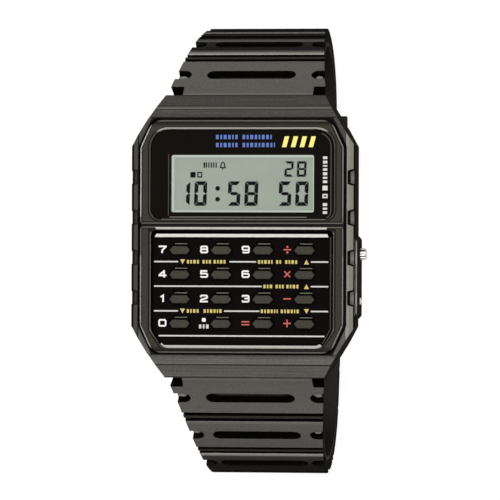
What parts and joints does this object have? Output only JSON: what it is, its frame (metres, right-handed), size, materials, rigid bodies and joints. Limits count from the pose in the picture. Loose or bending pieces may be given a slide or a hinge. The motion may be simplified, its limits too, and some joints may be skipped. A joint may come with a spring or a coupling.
{
  "type": "calculator watch",
  "caption": "Digital wristwatch with a calculator keypad under its display, in a resin case on a slotted resin strap, stood on its loop with the buckle undone.",
  "frame": {"origin": "centre of the case back's outer face", "axes": "+Z out of the dial, +Y to twelve o'clock, +X to the side buttons; the watch stands dial up on its strap loop"},
  "size_m": [0.0357, 0.0702, 0.0529],
  "materials": {
    "case_resin": "satin grained resin",
    "frame_resin": "satin black resin",
    "strap_resin": "fine grained resin",
    "panel_black": "matt black printed panel",
    "key_resin": "satin grey resin",
    "window_glass": "clear polished",
    "display": "grey green liquid crystal",
    "reflector": "brushed film",
    "silicone": "soft",
    "zebra": "layered elastomer",
    "module_resin": "moulded",
    "board": "glass epoxy",
    "components": "moulded",
    "steel": "brushed",
    "chrome": "bright plated",
    "spring_steel": "drawn wire",
    "brass": "rolled",
    "seal_rubber": "soft black"
  },
  "bodies": {
    "watch_case": {"case_body": "case_resin", "front_frame": "frame_resin", "display_glass": "window_glass", "keypad_panel": "panel_black", "key_membrane": "silicone", "lcd_panel": "display", "lcd_reflector": "reflector", "zebra_strips": "zebra", "lcd_holder": "module_resin", "circuit_board": "board", "board_components": "components", "battery": "steel", "module_frame": "module_resin", "battery_clip": "spring_steel", "case_back": "steel", "case_back_gasket": "seal_rubber", "case_back_screws": "steel", "piezo_disc": "brass", "piezo_contact_spring": "spring_steel", "mode_button_spring": "spring_steel", "mode_button_seal": "seal_rubber", "adjust_button_spring": "spring_steel", "adjust_button_seal": "seal_rubber", "spring_bar_upper": "steel", "spring_bar_lower": "steel"},
    "key_7": {"key_7": "key_resin"},
    "key_8": {"key_8": "key_resin"},
    "key_9": {"key_9": "key_resin"},
    "key_divide": {"key_divide": "key_resin"},
    "key_4": {"key_4": "key_resin"},
    "key_5": {"key_5": "key_resin"},
    "key_6": {"key_6": "key_resin"},
    "key_multiply": {"key_multiply": "key_resin"},
    "key_1": {"key_1": "key_resin"},
    "key_2": {"key_2": "key_resin"},
    "key_3": {"key_3": "key_resin"},
    "key_minus": {"key_minus": "key_resin"},
    "key_0": {"key_0": "key_resin"},
    "key_point": {"key_point": "key_resin"},
    "key_equals": {"key_equals": "key_resin"},
    "key_plus": {"key_plus": "key_resin"},
    "mode_button": {"mode_button": "chrome", "mode_button_clip": "spring_steel"},
    "adjust_button": {"adjust_button": "chrome", "adjust_button_clip": "spring_steel"},
    "buckle_half": {"strap_buckle_half": "strap_resin", "keeper_fixed": "strap_resin", "buckle_bar": "steel"},
    "tail_half": {"strap_tail_half": "strap_resin"},
    "buckle_frame": {"buckle_frame": "steel"},
    "buckle_tongue": {"buckle_tongue": "steel"},
    "loose_keeper": {"keeper_loose": "strap_resin"}
  },
  "joints": [
    {"name": "key_7_press", "type": "slide", "parent": "watch_case", "child": "key_7", "axis": [0, 0, -1], "range_m": [0, 0.00035], "stiffness_N_per_m": 600, "springref_m": -0.0006},
    {"name": "key_8_press", "type": "slide", "parent": "watch_case", "child": "key_8", "axis": [0, 0, -1], "range_m": [0, 0.00035], "stiffness_N_per_m": 600, "springref_m": -0.0006},
    {"name": "key_9_press", "type": "slide", "parent": "watch_case", "child": "key_9", "axis": [0, 0, -1], "range_m": [0, 0.00035], "stiffness_N_per_m": 600, "springref_m": -0.0006},
    {"name": "key_divide_press", "type": "slide", "parent": "watch_case", "child": "key_divide", "axis": [0, 0, -1], "range_m": [0, 0.00035], "stiffness_N_per_m": 600, "springref_m": -0.0006},
    {"name": "key_4_press", "type": "slide", "parent": "watch_case", "child": "key_4", "axis": [0, 0, -1], "range_m": [0, 0.00035], "stiffness_N_per_m": 600, "springref_m": -0.0006},
    {"name": "key_5_press", "type": "slide", "parent": "watch_case", "child": "key_5", "axis": [0, 0, -1], "range_m": [0, 0.00035], "stiffness_N_per_m": 600, "springref_m": -0.0006},
    {"name": "key_6_press", "type": "slide", "parent": "watch_case", "child": "key_6", "axis": [0, 0, -1], "range_m": [0, 0.00035], "stiffness_N_per_m": 600, "springref_m": -0.0006},
    {"name": "key_multiply_press", "type": "slide", "parent": "watch_case", "child": "key_multiply", "axis": [0, 0, -1], "range_m": [0, 0.00035], "stiffness_N_per_m": 600, "springref_m": -0.0006},
    {"name": "key_1_press", "type": "slide", "parent": "watch_case", "child": "key_1", "axis": [0, 0, -1], "range_m": [0, 0.00035], "stiffness_N_per_m": 600, "springref_m": -0.0006},
    {"name": "key_2_press", "type": "slide", "parent": "watch_case", "child": "key_2", "axis": [0, 0, -1], "range_m": [0, 0.00035], "stiffness_N_per_m": 600, "springref_m": -0.0006},
    {"name": "key_3_press", "type": "slide", "parent": "watch_case", "child": "key_3", "axis": [0, 0, -1], "range_m": [0, 0.00035], "stiffness_N_per_m": 600, "springref_m": -0.0006},
    {"name": "key_minus_press", "type": "slide", "parent": "watch_case", "child": "key_minus", "axis": [0, 0, -1], "range_m": [0, 0.00035], "stiffness_N_per_m": 600, "springref_m": -0.0006},
    {"name": "key_0_press", "type": "slide", "parent": "watch_case", "child": "key_0", "axis": [0, 0, -1], "range_m": [0, 0.00035], "stiffness_N_per_m": 600, "springref_m": -0.0006},
    {"name": "key_point_press", "type": "slide", "parent": "watch_case", "child": "key_point", "axis": [0, 0, -1], "range_m": [0, 0.00035], "stiffness_N_per_m": 600, "springref_m": -0.0006},
    {"name": "key_equals_press", "type": "slide", "parent": "watch_case", "child": "key_equals", "axis": [0, 0, -1], "range_m": [0, 0.00035], "stiffness_N_per_m": 600, "springref_m": -0.0006},
    {"name": "key_plus_press", "type": "slide", "parent": "watch_case", "child": "key_plus", "axis": [0, 0, -1], "range_m": [0, 0.00035], "stiffness_N_per_m": 600, "springref_m": -0.0006},
    {"name": "mode_button_press", "type": "slide", "parent": "watch_case", "child": "mode_button", "axis": [-1, 0, 0], "range_m": [0, 0.0006], "stiffness_N_per_m": 900, "springref_m": -0.0006, "deforming": ["mode_button_spring"]},
    {"name": "adjust_button_press", "type": "slide", "parent": "watch_case", "child": "adjust_button", "axis": [-1, 0, 0], "range_m": [0, 0.0004], "stiffness_N_per_m": 900, "springref_m": -0.0006, "deforming": ["adjust_button_spring"]},
    {"name": "tail_half_swing", "type": "hinge", "parent": "watch_case", "child": "tail_half", "pos_m": [0, -0.0196, 0.0024], "axis": [-1, 0, 0], "range_deg": [0, 40]},
    {"name": "buckle_half_swing", "type": "hinge", "parent": "watch_case", "child": "buckle_half", "pos_m": [0, 0.0196, 0.0024], "axis": [1, 0, 0], "range_deg": [0, 40]},
    {"name": "buckle_frame_swing", "type": "hinge", "parent": "buckle_half", "child": "buckle_frame", "pos_m": [0, 0.00535, -0.03759], "axis": [-1, 0, 0], "range_deg": [0, 80]},
    {"name": "buckle_tongue_swing", "type": "hinge", "parent": "buckle_frame", "child": "buckle_tongue", "pos_m": [0, 0.00535, -0.03759], "axis": [1, 0, 0], "range_deg": [0, 10]},
    {"name": "loose_keeper_slide", "type": "slide", "parent": "buckle_half", "child": "loose_keeper", "axis": [0, -0.9903, -0.1392], "range_m": [-0.0018, 0.0013]}
  ],
  "couplings": [
    {"joint": "buckle_half_swing", "follows": "tail_half_swing", "ratio": 1}
  ]
}
